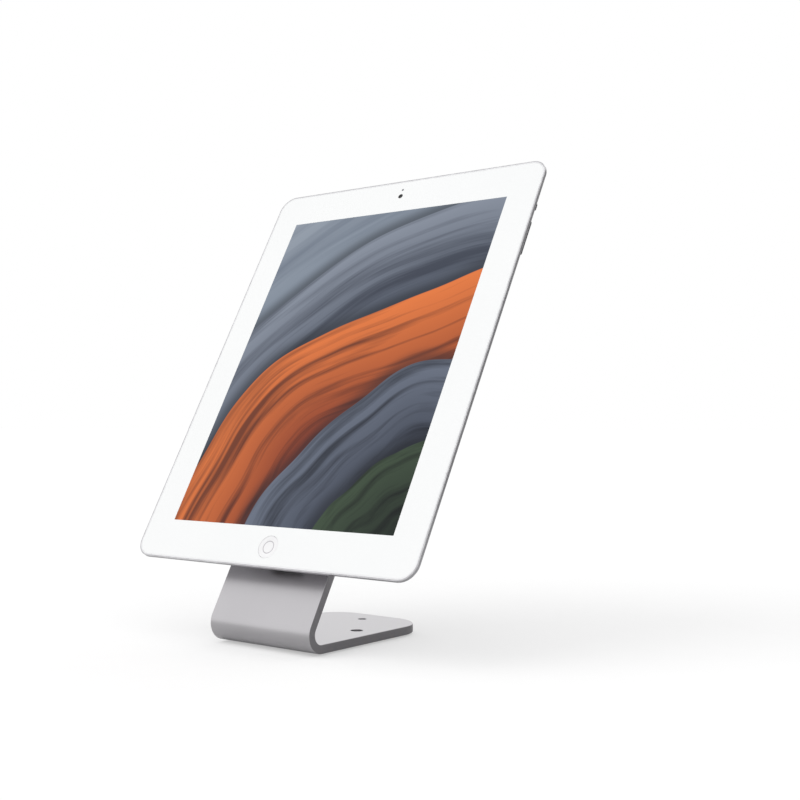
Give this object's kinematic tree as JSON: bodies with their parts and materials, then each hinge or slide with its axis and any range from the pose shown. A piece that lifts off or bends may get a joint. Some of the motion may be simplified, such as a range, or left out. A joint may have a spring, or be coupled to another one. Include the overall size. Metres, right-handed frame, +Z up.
{
  "type": "tablet security kiosk stand",
  "caption": "Bent metal desk stand whose leaning upright carries a bonded tablet on a turning joint, for portrait or landscape use, with desk screw holes and a security slot.",
  "frame": {"origin": "on the desk, under the middle of the base's depth and width", "axes": "+Z up from the desk, -Y the way the screen faces, +X to the right of someone facing the screen"},
  "size_m": [0.1856, 0.1252, 0.2499],
  "materials": {
    "plate_aluminium": "satin anodised",
    "cap_aluminium": "satin anodised",
    "pad_rubber": "matt",
    "bearing_plastic": "natural acetal",
    "joint_steel": "turned",
    "head_paint": "satin grey",
    "tape_foam": "closed-cell foam tape",
    "case_aluminium": "bead blasted",
    "gasket_plastic": "moulded",
    "white_glass": "polished, white mask behind",
    "screen": "lit display",
    "tray_plastic": "moulded",
    "battery_pouch": "foil pouch",
    "board_laminate": "solder mask",
    "tin_shield": "tinned",
    "small_steel": "zinc",
    "lens_black": "polished",
    "home_white": "polished",
    "control_plastic": "fine grain",
    "socket_plastic": "moulded",
    "grille_metal": "black mesh"
  },
  "bodies": {
    "stand": {"stand_plate": "plate_aluminium", "base_pad": "pad_rubber", "pivot_bush": "bearing_plastic", "friction_washer_front": "bearing_plastic", "friction_washer_rear": "bearing_plastic", "rear_cap": "cap_aluminium", "cap_screws": "joint_steel"},
    "head": {"head_plate": "head_paint", "bonding_tape": "tape_foam", "pivot_spindle": "joint_steel", "hub_screws": "joint_steel", "spring_washer": "joint_steel", "lock_nut": "joint_steel", "stop_pin": "joint_steel", "rear_case": "case_aluminium", "case_gasket": "gasket_plastic", "front_glass": "white_glass", "display_panel": "screen", "backlight_tray": "tray_plastic", "tray_screws": "small_steel", "battery_cell_left": "battery_pouch", "battery_cell_right": "battery_pouch", "logic_board": "board_laminate", "board_shield": "tin_shield", "board_screws": "small_steel", "front_camera": "lens_black", "light_sensor": "lens_black", "rear_camera": "lens_black", "rear_lens": "lens_black", "home_switch": "board_laminate", "volume_switch_board": "board_laminate", "side_switch_board": "board_laminate", "sleep_switch_board": "board_laminate", "headphone_socket": "socket_plastic", "dock_socket": "socket_plastic", "speaker_box": "socket_plastic", "speaker_grille": "grille_metal"},
    "home_button": {"home_button": "home_white"},
    "volume_rocker": {"volume_rocker": "control_plastic"},
    "side_switch": {"side_switch": "control_plastic"},
    "sleep_button": {"sleep_button": "control_plastic"}
  },
  "joints": [
    {"name": "head_rotation", "type": "hinge", "parent": "stand", "child": "head", "pos_m": [0, 0.02457, 0.13918], "axis": [0, 0.866, -0.5], "range_deg": [0, 90]},
    {"name": "home_press", "type": "slide", "parent": "head", "child": "home_button", "axis": [0, 0.866, -0.5], "range_m": [0, 0.0005], "stiffness_N_per_m": 1500, "springref_m": -0.0002},
    {"name": "volume_rock", "type": "hinge", "parent": "head", "child": "volume_rocker", "pos_m": [0.08634, 0.05253, 0.20641], "axis": [0, 0.866, -0.5], "range_deg": [-1.5, 1.5], "stiffness_Nm_per_rad": 0.2},
    {"name": "side_switch_slide", "type": "slide", "parent": "head", "child": "side_switch", "axis": [0, -0.5, -0.866], "range_m": [0, 0.0015]},
    {"name": "sleep_press", "type": "slide", "parent": "head", "child": "sleep_button", "axis": [0, -0.5, -0.866], "range_m": [0, 0.0004], "stiffness_N_per_m": 1500, "springref_m": -0.0002}
  ]
}
